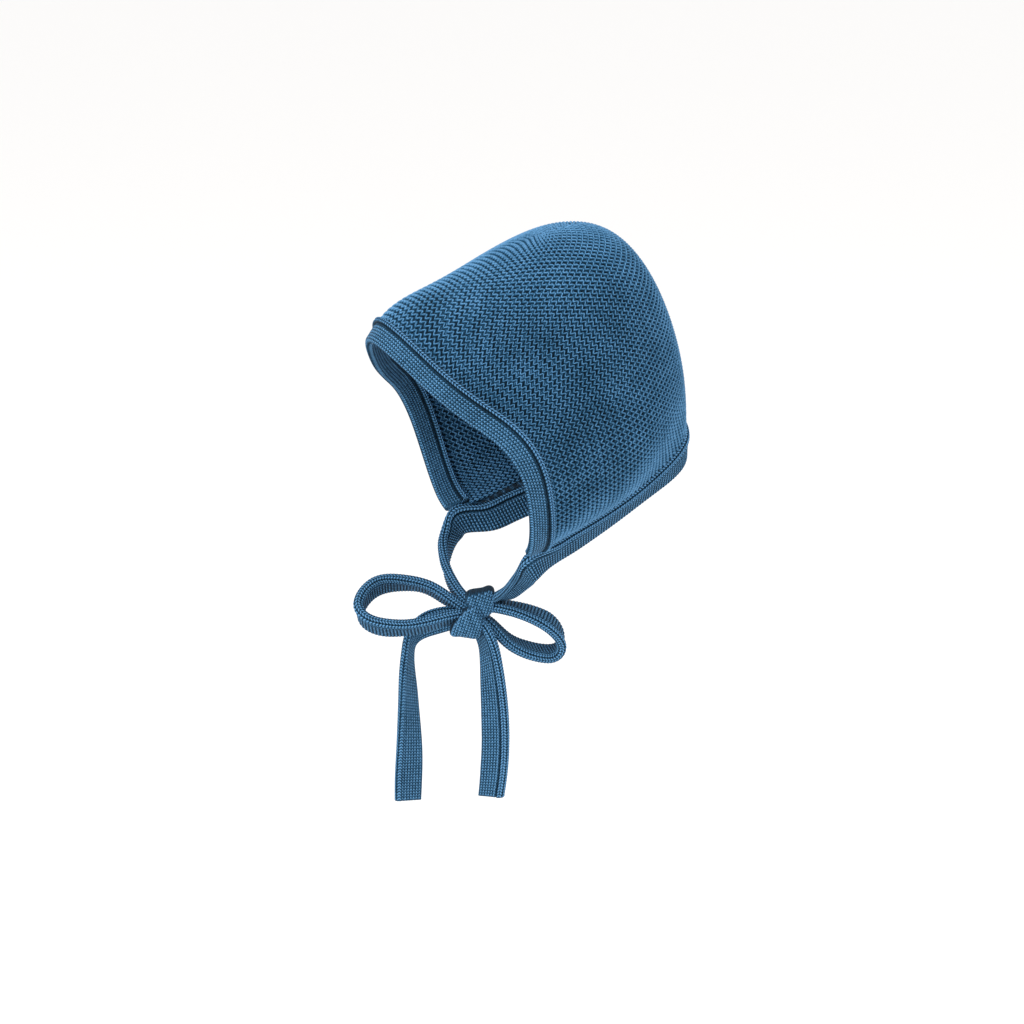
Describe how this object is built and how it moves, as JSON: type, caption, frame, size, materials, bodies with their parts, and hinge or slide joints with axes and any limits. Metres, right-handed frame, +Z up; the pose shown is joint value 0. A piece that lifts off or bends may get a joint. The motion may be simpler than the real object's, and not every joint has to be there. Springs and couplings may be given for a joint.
{
  "type": "baby bonnet",
  "caption": "Knitted baby bonnet with a garter-stitch crown, a folded band round the face and a bound neck edge that runs on as straps tied in a bow under the chin.",
  "frame": {"origin": "inside of the crown's top, on the middle plane, where a head carries it", "axes": "+Z up as worn, the face opening looks to -Y, the baby's left at +X"},
  "size_m": [0.1144, 0.1438, 0.2517],
  "materials": {
    "knit": "matte",
    "band": "matte"
  },
  "bodies": {
    "root": {"crown": "knit", "face_band": "band", "neck_band": "band", "bow_knot": "band", "bow_loop_left": "band", "bow_loop_right": "band", "tie_end_right": "band", "tie_end_left": "band"}
  },
  "joints": []
}
